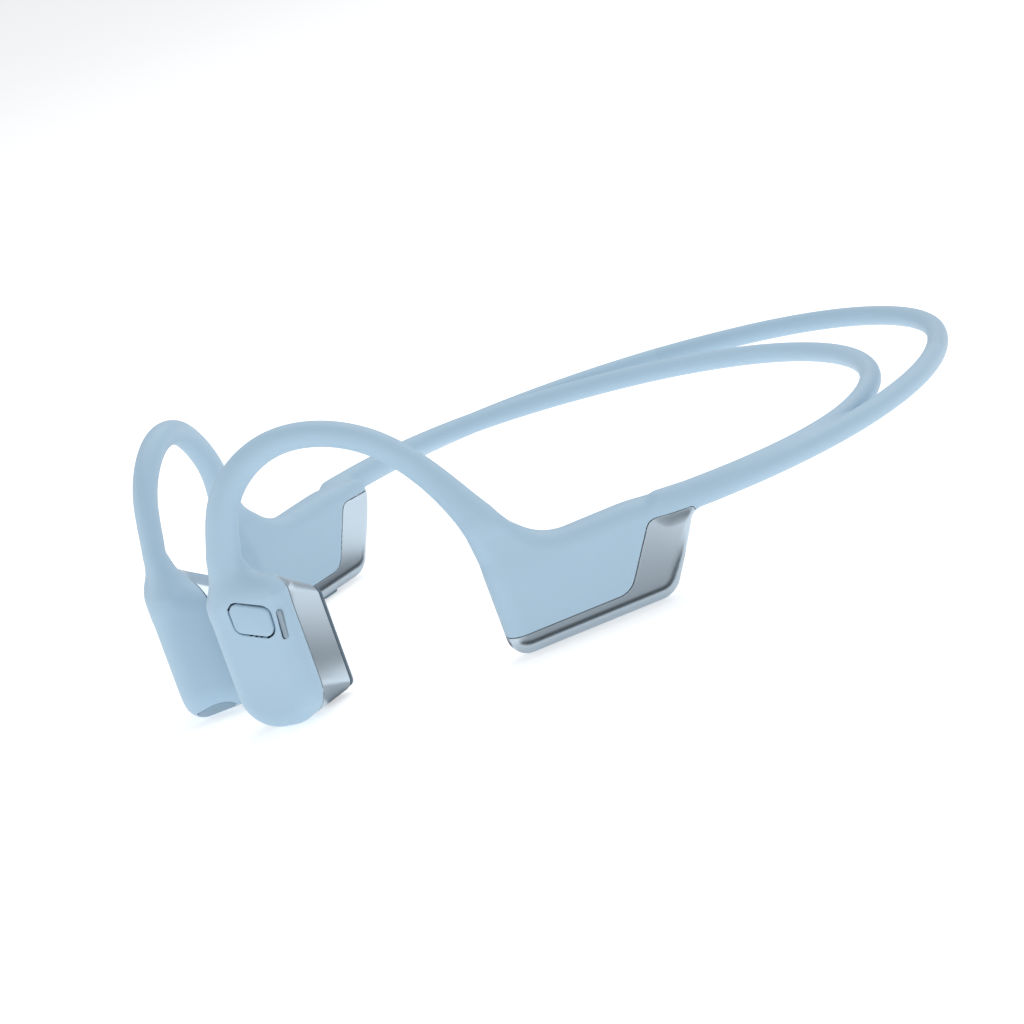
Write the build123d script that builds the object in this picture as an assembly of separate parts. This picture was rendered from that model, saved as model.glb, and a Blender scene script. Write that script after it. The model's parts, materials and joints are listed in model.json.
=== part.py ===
from build123d import *
import os
from math import atan2, cos, radians, sin, tan

# Bone conduction headphones, in millimetres.
# +X is the wearer's left, -Y is forward (the pods), +Y is the neckband, +Z is up.
# The origin is the middle of the footprint, on the surface that the headphones stand on.
# Every left-hand piece is made first, and the right-hand one is its mirror image.

# --- pods: each has a frame of its own, x across the face, y up, z out of the face ---
POD_CENTRE = (13.9, -61.62, 15.8)    # middle of the button, on the outer face
POD_TOE = 30.0                      # degrees that the outer face looks out from straight ahead
POD_LEFT, POD_RIGHT = -7.3, 5.2     # sides of the pod, from the button
POD_LOW, POD_HIGH = -15.8, 5.7      # bottom and top of the pod, from the button
POD_RADII = (5.6, 5.4, 3.0, 4.6)    # corner radii: bottom left, bottom right, top right, top left
PAD_LEFT, PAD_RIGHT = -5.8, 4.7     # the same at the contact pad
PAD_LOW, PAD_HIGH = -15.1, 0.3
PAD_RADII = (2.4, 1.2, 1.6, 2.4)
POD_WALL = 1.1
FACE_ROUND = 2.8                    # rounding of the outer face
# sections of the hook's root on the pod: drop below the hook, shift to the right, half width, half depth
POD_NECK = [(5.6, 1.3, 5.9, 2.6), (4.2, 0.75, 4.6, 2.45), (2.4, 0.15, 3.4, 2.1)]
SHOULDER_DEPTH = 3.5                # where the taper to the pad begins
TAPER_END = 12.2
SEAM_LEFT_DEPTH = 9.0               # the metal housing starts deeper on the inner side
HOUSING_END = 11.3
GASKET_THICK = 0.4
PAD_THICK = 0.9

# --- button, slot and vent on each pod ---
BUTTON_OUTLINE = [(-2.95, 4.0), (3.5, 1.95), (3.2, -2.85), (-2.95, -0.95)]
BUTTON_CORNER = 1.5
BUTTON_GAP = 0.3
BUTTON_PROUD = 0.25
BUTTON_LIP = 0.6                    # how far the flange reaches behind the wall
SLOT_AT = (4.2, -1.05)
SLOT_SIZE = (0.62, 4.1)
SLOT_LEAN = -5.0
BOARD_DEPTH, BOARD_THICK = 3.4, 0.6
VENT_AT = (-4.6, -14.4)             # middle of the vent insert on the pod's inner bottom edge
VENT_DEPTH = 4.2
VENT_SIZE = (5.4, 3.6)
VENT_OUT = (-0.42, -0.86, 0.3)

# --- transducer, on an axis square to the contact pad ---
MOTOR_AT = (-0.7, -7.0)
SPRING_DEPTH, SPRING_THICK = 4.6, 0.2
YOKE_RADIUS, YOKE_WALL, YOKE_FLOOR, YOKE_HEIGHT = 4.2, 0.7, 0.9, 3.8
MAGNET_RADIUS, MAGNET_HEIGHT = 2.5, 1.8
TOP_PLATE_RADIUS, TOP_PLATE_HEIGHT = 2.6, 1.0
COIL_INNER, COIL_OUTER, COIL_HEIGHT = 2.85, 3.22, 2.6
BOSS_INNER, BOSS_OUTER = 2.5, 3.7

# --- ear hook: points of its centre line from the pod up and over to the case ---
HOOK_POINTS = [
    (9.9, -60.12, 24.7),
    (11.2, -57.82, 32.0),
    (15.6, -51.42, 37.4),
    (20.3, -45.82, 37.1),
    (25.3, -41.02, 33.8),
    (29.8, -37.02, 27.4),
    (34.15, -34.77, 20.2),
]
# half width in the plane of the hook, and half thickness across it, at even steps
HOOK_HALF_WIDTHS = [2.6, 2.35, 2.12, 1.96, 1.86, 1.79, 1.77, 1.82, 1.92, 2.1, 2.6]
HOOK_HALF_DEPTHS = [1.65, 1.68, 1.71, 1.74, 1.75, 1.75, 1.75, 1.76, 1.8, 1.9, 2.05]
WIRE_RADIUS = 0.4
WIRE_BORE = 0.5

# --- cases behind the ears: x along the case, y up, z outwards ---
CASE_AT = (36.84, -27.68, 0.2)
CASE_TURN = 19.3                    # degrees that the case turns in towards the front
CASE_OUTLINE = [(-9.0, 0.2), (15.0, 0.2), (20.6, 10.6), (20.6, 14.35), (-9.3, 14.6)]
CASE_RADII = [2.6, 3.6, 1.2, 1.2, 1.0]
CASE_HALF = 2.8
CASE_EDGE = 2.2
CASE_WALL = 1.1
CASE_SKIN = 0.9                     # wall over the flat faces
TRIM_OUTLINE = [(-12.0, 3.3), (8.6, 3.3), (14.2, 11.9), (26.0, 11.9), (26.0, 30.0), (-12.0, 30.0)]
TRIM_RADII = [0.5, 3.2, 1.8, 0.5, 0.5, 0.5]
COVER_PLANE = -1.2                  # the outer shell meets the inner cover here
# sections of the neck above the case: height, front edge, rear edge, half thickness
NECK_SECTIONS = [
    (11.5, -9.0, 4.2, 2.5),
    (13.8, -9.3, 4.4, 2.3),
    (14.9, -9.35, 2.6, 2.3),
    (16.0, -9.4, -0.4, 2.3),
    (17.8, -9.8, -2.9, 2.25),
]

# --- neckband: two loops of tangent arcs, each listed from the middle of the back ---
ARM_RADIUS, FLEX_RADIUS, REAR_RADIUS = 1.55, 1.5, 1.45
INNER_TIP, OUTER_TIP = 47.2, 62.78
INNER_ARCS = [(50.0, 28.0), (50.0, 14.0), (50.0, 16.0), (33.9, 32.0), (42.6, 25.0)]
OUTER_ARCS = [(42.0, 36.0), (62.5, 12.0), (56.6, 26.0), (52.2, 40.0)]
INNER_HEIGHT, INNER_FALL = 13.0, 1.75      # height at Y = 0, and degrees that the loop falls
OUTER_HEIGHT, OUTER_FALL = 12.2, 0.9
LOOPS = {
    "inner": (INNER_TIP, INNER_ARCS, INNER_HEIGHT, INNER_FALL),
    "outer": (OUTER_TIP, OUTER_ARCS, OUTER_HEIGHT, OUTER_FALL),
}
WIRE_SHORT = 6.0                           # degrees of the last arc that a wire stops short by

# --- contents of the cases ---
BATTERY_FROM, BATTERY_SIZE = (-2.4, 2.4), (16.2, 9.2, 3.4)
MAIN_BOARD_FROM, MAIN_BOARD_SIZE = (-4.0, 4.0), (18.6, 8.2, 0.8)
KEY_LENGTH, KEY_WIDTH, KEY_PROUD, KEY_GAP = 3.8, 1.7, 0.4, 0.25
KEY_CENTRES = (2.2, 7.0)
PORT_AT, PORT_SIZE = -4.6, (4.2, 2.2)


def pod_frame():
    """The pod's own plane: x across the face, y up, z out of the outer face."""
    toe = radians(POD_TOE)
    return Plane(origin=POD_CENTRE, x_dir=(cos(toe), sin(toe), 0), z_dir=(sin(toe), -cos(toe), 0))


def case_frame():
    """The case's own plane: x along the case to the rear, y up, z outwards."""
    turn = radians(CASE_TURN)
    return Plane(origin=CASE_AT, x_dir=(sin(turn), cos(turn), 0), z_dir=(cos(turn), -sin(turn), 0))


def mix(first, second, share):
    return first + (second - first) * share


def rounded_face(corners, radii):
    return make_face(FilletPolyline(*corners, radius=radii, close=True))


# ---------------------------------------------------------------- pods

def pod_section(depth, inset):
    """Outline of the pod at a depth behind its outer face, drawn in by inset."""
    share = max(0.0, (depth - SHOULDER_DEPTH) / (TAPER_END - SHOULDER_DEPTH))
    left = mix(POD_LEFT, PAD_LEFT, share) + inset
    right = mix(POD_RIGHT, PAD_RIGHT, share) - inset
    low = mix(POD_LOW, PAD_LOW, share) + inset
    high = mix(POD_HIGH, PAD_HIGH, share) - inset
    radii = [max(mix(a, b, share) - inset, 0.6) for a, b in zip(POD_RADII, PAD_RADII)]
    corners = [(left, low), (right, low), (right, high), (left, high)]
    return Pos(0, 0, -depth) * rounded_face(corners, radii)


def pod_form(inset, front, back):
    """A rounded slab behind the outer face, then a straight taper towards the pad."""
    slab = extrude(pod_section(SHOULDER_DEPTH, inset), amount=SHOULDER_DEPTH - front, dir=(0, 0, 1))
    face_edges = slab.faces().sort_by(Axis.Z)[-1].edges()
    slab = fillet(face_edges, FACE_ROUND - inset)
    taper = loft([pod_section(SHOULDER_DEPTH, inset), pod_section(back, inset)], ruled=True)
    return slab + taper


def seam_plane():
    """The slanted plane where the matte shell meets the metal housing."""
    slope = atan2(SEAM_LEFT_DEPTH - SHOULDER_DEPTH, POD_RIGHT - POD_LEFT)
    return Plane(origin=(POD_RIGHT, 0, -SHOULDER_DEPTH), x_dir=(cos(slope), 0, sin(slope)),
                 z_dir=(-sin(slope), 0, cos(slope)))


def button_face(grow):
    """The button's outline, grown or shrunk all round."""
    outline = rounded_face(BUTTON_OUTLINE, [BUTTON_CORNER] * len(BUTTON_OUTLINE))
    return outline if grow == 0 else offset(outline, amount=grow)


def vent_prism(grow=0.0):
    """An oval plug through the lower inner edge of the pod."""
    out = Vector(*VENT_OUT)
    start = Vector(VENT_AT[0], VENT_AT[1], -VENT_DEPTH) - out * 3.0
    plane = Plane(origin=start, x_dir=(0, 0, 1), z_dir=out)
    return extrude(plane * Ellipse(VENT_SIZE[0] / 2 + grow, VENT_SIZE[1] / 2 + grow), amount=8.0)


def pod_neck():
    """The solid root of the ear hook on top of the pod, in the world frame."""
    start, up = Vector(HOOK_POINTS[0]), Vector(0, 0, 1)
    toe = radians(POD_TOE)
    across = Vector(cos(toe), sin(toe), 0)
    faces = []
    for drop, shift, half_width, half_depth in POD_NECK:
        plane = Plane(origin=start - up * drop + across * shift, x_dir=across, z_dir=up)
        faces.append(plane * Ellipse(half_width, half_depth))
    return loft(faces + [hook_section(0)])


def pod_outer_shell():
    """Matte shell with the button hole, the microphone slot, the vent and the hook's root."""
    frame = pod_frame()
    neck = frame.location.inverse() * pod_neck()
    cavity = pod_form(POD_WALL, POD_WALL, HOUSING_END + 0.5)
    shell = pod_form(0.0, 0.0, HOUSING_END) + neck - cavity
    shell = split(shell, bisect_by=seam_plane(), keep=Keep.TOP)
    shell -= extrude(Pos(0, 0, 1) * button_face(0), amount=-3.0)
    slot = Pos(SLOT_AT[0], SLOT_AT[1], 1) * SlotOverall(SLOT_SIZE[1], SLOT_SIZE[0], rotation=90 + SLOT_LEAN)
    shell -= extrude(slot, amount=-4.0)
    shell -= vent_prism()
    shell = frame.location * shell
    return shell - wire_along(hook_line(), WIRE_BORE, 2.6)


def pod_housing():
    """Metal housing from the slanted seam to the gasket."""
    body = pod_form(0.0, 0.0, HOUSING_END) - pod_form(POD_WALL, POD_WALL, HOUSING_END) - vent_prism()
    return pod_frame().location * split(body, bisect_by=seam_plane(), keep=Keep.BOTTOM)


def pod_gasket():
    """Thin dark ring between the housing and the pad."""
    ring = pod_section(HOUSING_END, 0.15) - pod_section(HOUSING_END, POD_WALL)
    return pod_frame().location * extrude(ring, amount=GASKET_THICK, dir=(0, 0, -1))


def contact_pad():
    """Flat pad that rests on the cheekbone, with the boss that carries the coil."""
    top = HOUSING_END + GASKET_THICK
    plate = extrude(pod_section(top, 0.1), amount=PAD_THICK, dir=(0, 0, -1))
    plate = fillet(plate.faces().sort_by(Axis.Z)[0].edges(), 0.35)
    height = top - (SPRING_DEPTH + SPRING_THICK + YOKE_HEIGHT + 1.2)
    ring = Circle(BOSS_OUTER) - Circle(BOSS_INNER)
    boss = extrude(Pos(MOTOR_AT[0], MOTOR_AT[1], -top) * ring, amount=height)
    return pod_frame().location * (plate + boss)


def vent_insert():
    """Oval cover of the bass vent, flush with the pod's surface."""
    wall = pod_form(0.0, 0.0, HOUSING_END) - pod_form(POD_WALL, POD_WALL, HOUSING_END)
    return pod_frame().location * (vent_prism() & wall)


def mic_mesh():
    slot = SlotOverall(SLOT_SIZE[1] - 0.1, SLOT_SIZE[0] - 0.1, rotation=90 + SLOT_LEAN)
    return pod_frame().location * extrude(Pos(SLOT_AT[0], SLOT_AT[1], -0.95) * slot, amount=-0.35)


def mic_capsule():
    size = (2.0, 2.4, 0.8)
    middle = Pos(2.8, SLOT_AT[1], -BOARD_DEPTH + size[2] / 2)
    return pod_frame().location * middle * Box(*size)


def pod_board():
    board = Pos(-1.0, -1.2, -BOARD_DEPTH - BOARD_THICK / 2) * Box(9.2, 6.8, BOARD_THICK)
    board = fillet(board.edges().filter_by(Axis.Z), 1.0)
    return pod_frame().location * board


def button_switch():
    """Tactile switch on the pod's board, with a round plunger facing the cap."""
    case = Pos(-0.1, 0.5, -BOARD_DEPTH + 0.35) * Box(3.0, 3.0, 0.7)
    plunger = Pos(-0.1, 0.5, -BOARD_DEPTH + 0.7 + 0.175) * Cylinder(0.8, 0.35)
    return pod_frame().location * (case + plunger)


def button_cap():
    """Cap that stands a little proud, with the flange that holds it behind the wall."""
    flange_top = POD_WALL + 0.1
    cap = extrude(Pos(0, 0, BUTTON_PROUD) * button_face(-BUTTON_GAP), amount=-(flange_top + BUTTON_PROUD + 0.1))
    cap = fillet(cap.faces().sort_by(Axis.Z)[-1].edges(), 0.3)
    flange = extrude(Pos(0, 0, -flange_top) * button_face(BUTTON_LIP - BUTTON_GAP), amount=-0.4)
    flange &= pod_form(POD_WALL + 0.12, POD_WALL, HOUSING_END)
    post = Pos(-0.1, 0.5, -flange_top - 0.5) * Cylinder(1.1, 0.6)
    return pod_frame().location * (cap + flange + post)


# ---------------------------------------------------------------- transducer

def motor_disc(outer, inner, depth, height):
    face = Circle(outer) if inner == 0 else Circle(outer) - Circle(inner)
    solid = extrude(Pos(MOTOR_AT[0], MOTOR_AT[1], -depth) * face, amount=-height)
    return pod_frame().location * solid


def transducer_yoke():
    depth = SPRING_DEPTH + SPRING_THICK
    floor = motor_disc(YOKE_RADIUS, 0, depth, YOKE_FLOOR)
    return floor + motor_disc(YOKE_RADIUS, YOKE_RADIUS - YOKE_WALL, depth, YOKE_HEIGHT)


def transducer_magnet():
    depth = SPRING_DEPTH + SPRING_THICK + YOKE_FLOOR
    return motor_disc(MAGNET_RADIUS, 0, depth, MAGNET_HEIGHT)


def transducer_top_plate():
    depth = SPRING_DEPTH + SPRING_THICK + YOKE_FLOOR + MAGNET_HEIGHT
    return motor_disc(TOP_PLATE_RADIUS, 0, depth, TOP_PLATE_HEIGHT)


def voice_coil():
    end = SPRING_DEPTH + SPRING_THICK + YOKE_HEIGHT + 1.2
    return motor_disc(COIL_OUTER, COIL_INNER, end - COIL_HEIGHT, COIL_HEIGHT)


def spring_plate():
    """Flat spring: a rim against the pod's wall, a hub under the yoke and four arms."""
    back = SPRING_DEPTH + SPRING_THICK
    rim = pod_section(back, POD_WALL + 0.06) - pod_section(back, POD_WALL + 0.9)
    web = Pos(MOTOR_AT[0], MOTOR_AT[1], -back) * (Circle(2.0) + Rectangle(9.2, 1.0) + Rectangle(1.0, 14.0))
    web = web & pod_section(back, POD_WALL + 0.4)
    return pod_frame().location * extrude(rim + web, amount=SPRING_THICK, dir=(0, 0, 1))


# ---------------------------------------------------------------- ear hook

def hook_line():
    return Spline(*HOOK_POINTS, tangents=[(0.12, 0.28, 0.95), (0.45, 0.25, -0.86)])


def hook_section(index):
    """One oval section of the hook."""
    line = hook_line()
    share = index / (len(HOOK_HALF_WIDTHS) - 1)
    toe, turn = radians(POD_TOE), radians(CASE_TURN)
    thin = Vector(mix(sin(toe), cos(turn), share), mix(-cos(toe), -sin(turn), share), 0)
    along = line % share
    plane = Plane(origin=line @ share, x_dir=thin.cross(along), z_dir=along)
    return plane * Ellipse(HOOK_HALF_WIDTHS[index], HOOK_HALF_DEPTHS[index])


def wire_along(line, radius, extra):
    """A round wire along a line, run on straight past both of its ends."""
    ends = [(line @ 0, line % 0 * -1), (line @ 1, line % 1)]
    wire = sweep(Plane(origin=line @ 0, z_dir=line % 0) * Circle(radius), path=line)
    for point, away in ends:
        wire += extrude(Plane(origin=point, z_dir=away) * Circle(radius), amount=extra)
    return wire


def ear_hook_sleeve():
    body = loft([hook_section(i) for i in range(len(HOOK_HALF_WIDTHS))])
    return body - wire_along(hook_line(), WIRE_BORE, 1.0)


def ear_hook_wire():
    return wire_along(hook_line(), WIRE_RADIUS, 2.4)


# ---------------------------------------------------------------- cases

def case_form():
    slab = extrude(rounded_face(CASE_OUTLINE, CASE_RADII), amount=CASE_HALF, both=True)
    outer = slab.faces().sort_by(Axis.Z)[-1].edges()
    inner = slab.faces().sort_by(Axis.Z)[0].edges()
    return fillet(outer + inner, CASE_EDGE)


def case_cavity():
    low = CASE_OUTLINE[0][1] + CASE_WALL
    outline = [(-7.8, low), (14.2, low), (18.4, 9.2), (16.8, 12.9), (-7.8, 12.9)]
    return extrude(rounded_face(outline, CASE_RADII), amount=CASE_HALF - CASE_SKIN, both=True)


def case_neck():
    """Oval sections that carry the case up into the ear hook, in the world frame."""
    frame = case_frame()
    faces = []
    for height, front, rear, half_depth in NECK_SECTIONS:
        middle = frame.from_local_coords(((front + rear) / 2, height, 0))
        place = Plane(origin=middle, x_dir=frame.x_dir, z_dir=(0, 0, 1))
        faces.append(place * Ellipse((rear - front) / 2, half_depth))
    return loft(faces + [hook_section(len(HOOK_HALF_WIDTHS) - 1)])


def trim_region(keep_matte):
    """The part of the case above the trim line, or the part below it."""
    matte = extrude(rounded_face(TRIM_OUTLINE, TRIM_RADII), amount=20, both=True)
    return matte if keep_matte else Pos(5, 10, 0) * Box(80, 80, 30) - matte


def strand_roots():
    """The ends of the neckband's strands inside the length of the case, in its frame."""
    strands = [tube(loop_edges(name, 3, len(LOOPS[name][1])), ARM_RADIUS) for name in LOOPS]
    roots = case_frame().location.inverse() * (strands[0] + strands[1])
    return roots & Pos(case_rear() - 10, 10, 0) * Box(20, 40, 30)


def case_rear():
    return CASE_OUTLINE[2][0]


def case_matte():
    """The matte part of the case, with its neck, its cavity and the roots of the neckband."""
    neck = case_frame().location.inverse() * case_neck()
    body = (case_form() + neck) & trim_region(True)
    return body + strand_roots() - case_cavity()


def case_outer_shell():
    body = case_matte() & Pos(5, 10, COVER_PLANE + 15) * Box(80, 80, 30)
    body = case_frame().location * body
    return body - wire_along(hook_line(), WIRE_BORE, 2.6)


def case_inner_cover():
    body = case_matte() & Pos(5, 10, COVER_PLANE - 15) * Box(80, 80, 30)
    return case_frame().location * body


def case_trim():
    """The metallic trim along the bottom and the rear, in the case's frame."""
    return (case_form() & trim_region(False)) - strand_roots() - case_cavity()


def key_slot(centre, grow):
    """Upright opening for a key through the bottom of the case."""
    hole = Rot(90, 0, 0) * SlotOverall(KEY_LENGTH + 2 * grow, KEY_WIDTH + 2 * grow)
    return extrude(Pos(centre, 0, 0) * hole, amount=4, both=True)


def right_trim_shell():
    """The right-hand trim has openings for the volume keys and the charging port."""
    trim = case_trim()
    for centre in KEY_CENTRES:
        trim -= key_slot(centre, KEY_GAP)
    trim -= port_prism(PORT_SIZE)
    return mirrored(case_frame().location * trim)


def port_prism(size):
    hole = Rot(90, 0, 0) * SlotOverall(size[0], size[1])
    return extrude(Pos(PORT_AT, 0, 0) * hole, amount=4, both=True)


def charging_port():
    """Metal shell of the port, with the tongue inside it."""
    length, width = PORT_SIZE
    outer = Rot(90, 0, 0) * SlotOverall(length - 0.06, width - 0.06)
    inner = Rot(90, 0, 0) * SlotOverall(length - 0.6, width - 0.6)
    tube = extrude(Pos(PORT_AT, 0.3, 0) * outer, amount=-3.4, dir=(0, -1, 0))
    bore = extrude(Pos(PORT_AT, 0.0, 0) * inner, amount=-3.0, dir=(0, -1, 0))
    tongue = Pos(PORT_AT, 2.2, 0) * Box(2.2, 2.4, 0.5)
    return mirrored(case_frame().location * (tube - bore + tongue))


def volume_key(centre):
    """Key that stands proud of the underside, held by a flange inside the trim."""
    low = CASE_OUTLINE[0][1]
    top = low + CASE_WALL + 0.1
    key = Rot(90, 0, 0) * SlotOverall(KEY_LENGTH, KEY_WIDTH)
    stem = extrude(Pos(centre, low - KEY_PROUD, 0) * key, amount=-(top + KEY_PROUD - low), dir=(0, -1, 0))
    stem = fillet(stem.faces().sort_by(Axis.Y)[0].edges(), 0.35)
    flange = Pos(centre, top + 0.2, 0) * Box(KEY_LENGTH + 0.8, 0.4, KEY_WIDTH + 0.9)
    return mirrored(case_frame().location * (stem + flange))


def battery_cell():
    length, height, thick = BATTERY_SIZE
    middle = Pos(BATTERY_FROM[0] + length / 2, BATTERY_FROM[1] + height / 2, 0)
    cell = fillet((middle * Box(length, height, thick)).edges().filter_by(Axis.Y), 1.4)
    return case_frame().location * cell


def battery_board():
    board = Pos(-4.4, BATTERY_FROM[1] + 4.4, 0) * Box(2.6, 7.0, 0.8)
    return case_frame().location * board


def main_board():
    length, height, thick = MAIN_BOARD_SIZE
    middle = Pos(MAIN_BOARD_FROM[0] + length / 2, MAIN_BOARD_FROM[1] + height / 2, 0)
    chips = [(2.0, 8.4, 5.0, 5.0, 1.0), (9.6, 8.4, 4.2, 3.2, 0.9), (13.2, 6.4, 1.8, 2.6, 1.2)]
    board = middle * Box(length, height, thick)
    for x, y, wide, tall, high in chips:
        board += Pos(x, y, thick / 2 + high / 2) * Box(wide, tall, high)
    return mirrored(case_frame().location * board)


# ---------------------------------------------------------------- neckband

def loop_points(tip, arcs):
    """Centre line of half a loop: each arc's start, middle, end and the way it sets off."""
    x, y, heading = 0.0, tip, 0.0
    points = []
    for radius, turn in arcs:
        steps = []
        for share in (0.0, 0.5, 1.0):
            angle = heading + radians(turn) * share
            steps.append((x + radius * (sin(angle) - sin(heading)), y + radius * (cos(angle) - cos(heading))))
        points.append(steps)
        x, y = steps[-1]
        heading += radians(turn)
    return points


def raised(point, height, fall):
    """A flat point lifted on to the plane of its loop."""
    x, y = point
    return (x, y, height - y * tan(radians(fall)))


def loop_edges(name, first, last, both=False, short=0.0):
    """Arcs first to last of a loop's left half, or of both halves, on its sloping plane."""
    tip, arcs, height, fall = LOOPS[name]
    arcs = arcs[:-1] + [(arcs[-1][0], arcs[-1][1] - short)]
    edges, others = [], []
    for steps in loop_points(tip, arcs)[first:last]:
        left = [raised(step, height, fall) for step in steps]
        edges.append(ThreePointArc(*left))
        others.insert(0, ThreePointArc(*[(-x, y, z) for x, y, z in reversed(left)]))
    return others + edges if both else edges


def tube(edges, radius):
    """Round tube along edges that follow each other."""
    path = Wire(edges)
    start = Plane(origin=path @ 0, z_dir=path % 0)
    return sweep(start * Circle(radius), path=path)


def band_rear(name):
    """Sleeve of the part of a loop behind both flex zones."""
    edges = loop_edges(name, 0, 1, both=True)
    return tube(edges, REAR_RADIUS) - tube(edges, WIRE_BORE)


def band_flex(name):
    """Sleeve of the part of a loop that takes the bend when a side is spread."""
    edges = loop_edges(name, 1, 2)
    return tube(edges, FLEX_RADIUS) - tube(edges, WIRE_BORE)


def band_arm():
    """Moulded fork: the two strands leave the case as one and part on the way back."""
    strands = [loop_edges(name, 2, len(LOOPS[name][1])) for name in LOOPS]
    arm = tube(strands[0], ARM_RADIUS) + tube(strands[1], ARM_RADIUS)
    for edges in strands:
        arm -= tube(edges, WIRE_BORE)
    return arm - case_frame().location * Pos(case_rear() - 10, 10, 0) * Box(20, 40, 30)


def band_wire(name):
    """Titanium wire through a whole loop, anchored in the arm at each end."""
    edges = loop_edges(name, 0, len(LOOPS[name][1]), both=True, short=WIRE_SHORT)
    return tube(edges, WIRE_RADIUS)


# ---------------------------------------------------------------- the whole

def mirrored(shape):
    return mirror(shape, about=Plane.YZ)


def one_side():
    """Left-hand pieces that have a mirror image on the right."""
    return {
        "pod_outer_shell": pod_outer_shell(),
        "pod_housing": pod_housing(),
        "pod_gasket": pod_gasket(),
        "contact_pad": contact_pad(),
        "vent_insert": vent_insert(),
        "mic_mesh": mic_mesh(),
        "mic_capsule": mic_capsule(),
        "pod_board": pod_board(),
        "button_switch": button_switch(),
        "button_cap": button_cap(),
        "transducer_yoke": transducer_yoke(),
        "transducer_magnet": transducer_magnet(),
        "transducer_top_plate": transducer_top_plate(),
        "voice_coil": voice_coil(),
        "spring_plate": spring_plate(),
        "ear_hook_sleeve": ear_hook_sleeve(),
        "ear_hook_wire": ear_hook_wire(),
        "case_outer_shell": case_outer_shell(),
        "case_inner_cover": case_inner_cover(),
        "band_arm": band_arm(),
        "inner_band_flex": band_flex("inner"),
        "outer_band_flex": band_flex("outer"),
    }


def all_nodes():
    nodes = {}
    for name, shape in one_side().items():
        nodes["left_" + name] = shape
        nodes["right_" + name] = mirrored(shape)
    nodes["left_case_trim_shell"] = case_frame().location * case_trim()
    nodes["right_case_trim_shell"] = right_trim_shell()
    nodes["battery_cell"] = battery_cell()
    nodes["battery_board"] = battery_board()
    nodes["main_board"] = main_board()
    nodes["charging_port"] = charging_port()
    nodes["volume_up_key"] = volume_key(KEY_CENTRES[1])
    nodes["volume_down_key"] = volume_key(KEY_CENTRES[0])
    for name in LOOPS:
        nodes[name + "_band_rear_sleeve"] = band_rear(name)
        nodes[name + "_band_wire"] = band_wire(name)
    return nodes


os.makedirs("parts", exist_ok=True)
for node, shape in all_nodes().items():
    export_step(shape, "parts/" + node + ".step")
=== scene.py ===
import json
from math import ceil, cos, pi, radians, sin, tan

import bpy
import numpy as np
from mathutils import Matrix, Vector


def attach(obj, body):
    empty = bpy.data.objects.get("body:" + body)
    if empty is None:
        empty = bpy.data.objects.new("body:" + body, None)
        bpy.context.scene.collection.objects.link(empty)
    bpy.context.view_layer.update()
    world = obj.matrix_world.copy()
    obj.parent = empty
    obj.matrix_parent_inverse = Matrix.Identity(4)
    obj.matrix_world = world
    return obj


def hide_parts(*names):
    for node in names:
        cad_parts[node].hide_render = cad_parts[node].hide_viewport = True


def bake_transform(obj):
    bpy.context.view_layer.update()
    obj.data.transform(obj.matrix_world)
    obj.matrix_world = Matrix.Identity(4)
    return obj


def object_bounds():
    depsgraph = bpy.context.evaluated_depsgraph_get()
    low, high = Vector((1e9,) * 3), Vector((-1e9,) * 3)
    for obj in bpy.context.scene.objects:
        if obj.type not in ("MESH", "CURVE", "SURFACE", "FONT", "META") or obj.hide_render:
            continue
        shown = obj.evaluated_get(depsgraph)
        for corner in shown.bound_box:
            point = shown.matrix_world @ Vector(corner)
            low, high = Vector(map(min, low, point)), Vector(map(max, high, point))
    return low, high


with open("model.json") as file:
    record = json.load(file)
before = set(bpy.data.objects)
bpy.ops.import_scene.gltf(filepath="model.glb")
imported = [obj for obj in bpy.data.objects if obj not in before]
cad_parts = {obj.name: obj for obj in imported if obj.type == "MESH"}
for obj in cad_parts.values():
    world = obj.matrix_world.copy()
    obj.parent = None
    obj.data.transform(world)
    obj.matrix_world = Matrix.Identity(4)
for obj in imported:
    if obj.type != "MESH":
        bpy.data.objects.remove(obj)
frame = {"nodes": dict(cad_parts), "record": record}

CAD_BOX = [list(corner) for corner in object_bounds()]
SIDES = ("left", "right")

# Lengths below are in millimetres, for the left side. They are the CAD's driving dimensions, apart from
# the case's and the trim's outlines, which differ a little from the CAD's at the top and the rear.
POD_LEFT, POD_RIGHT, POD_LOW, POD_HIGH = -7.3, 5.2, -15.8, 5.7
POD_RADII = (5.6, 5.4, 3.0, 4.6)
PAD_LEFT, PAD_RIGHT, PAD_LOW, PAD_HIGH = -5.8, 4.7, -15.1, 0.3
PAD_RADII = (2.4, 1.2, 1.6, 2.4)
FACE_ROUND, SHOULDER_DEPTH, TAPER_END = 2.8, 3.5, 12.2
SEAM_LEFT_DEPTH, HOUSING_END, PAD_TOP, PAD_FACE = 9.0, 11.3, 11.7, 12.6
BUTTON_OUTLINE = [(-2.95, 4.0), (3.5, 1.95), (3.2, -2.85), (-2.95, -0.95)]
SLOT_AT, SLOT_SIZE, SLOT_LEAN = (4.2, -1.05), (0.62, 4.1), -5.0
VENT_AT, VENT_DEPTH, VENT_SIZE, VENT_OUT = (-4.6, -14.4), 4.2, (5.4, 3.6), (-0.42, -0.86, 0.3)
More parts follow.
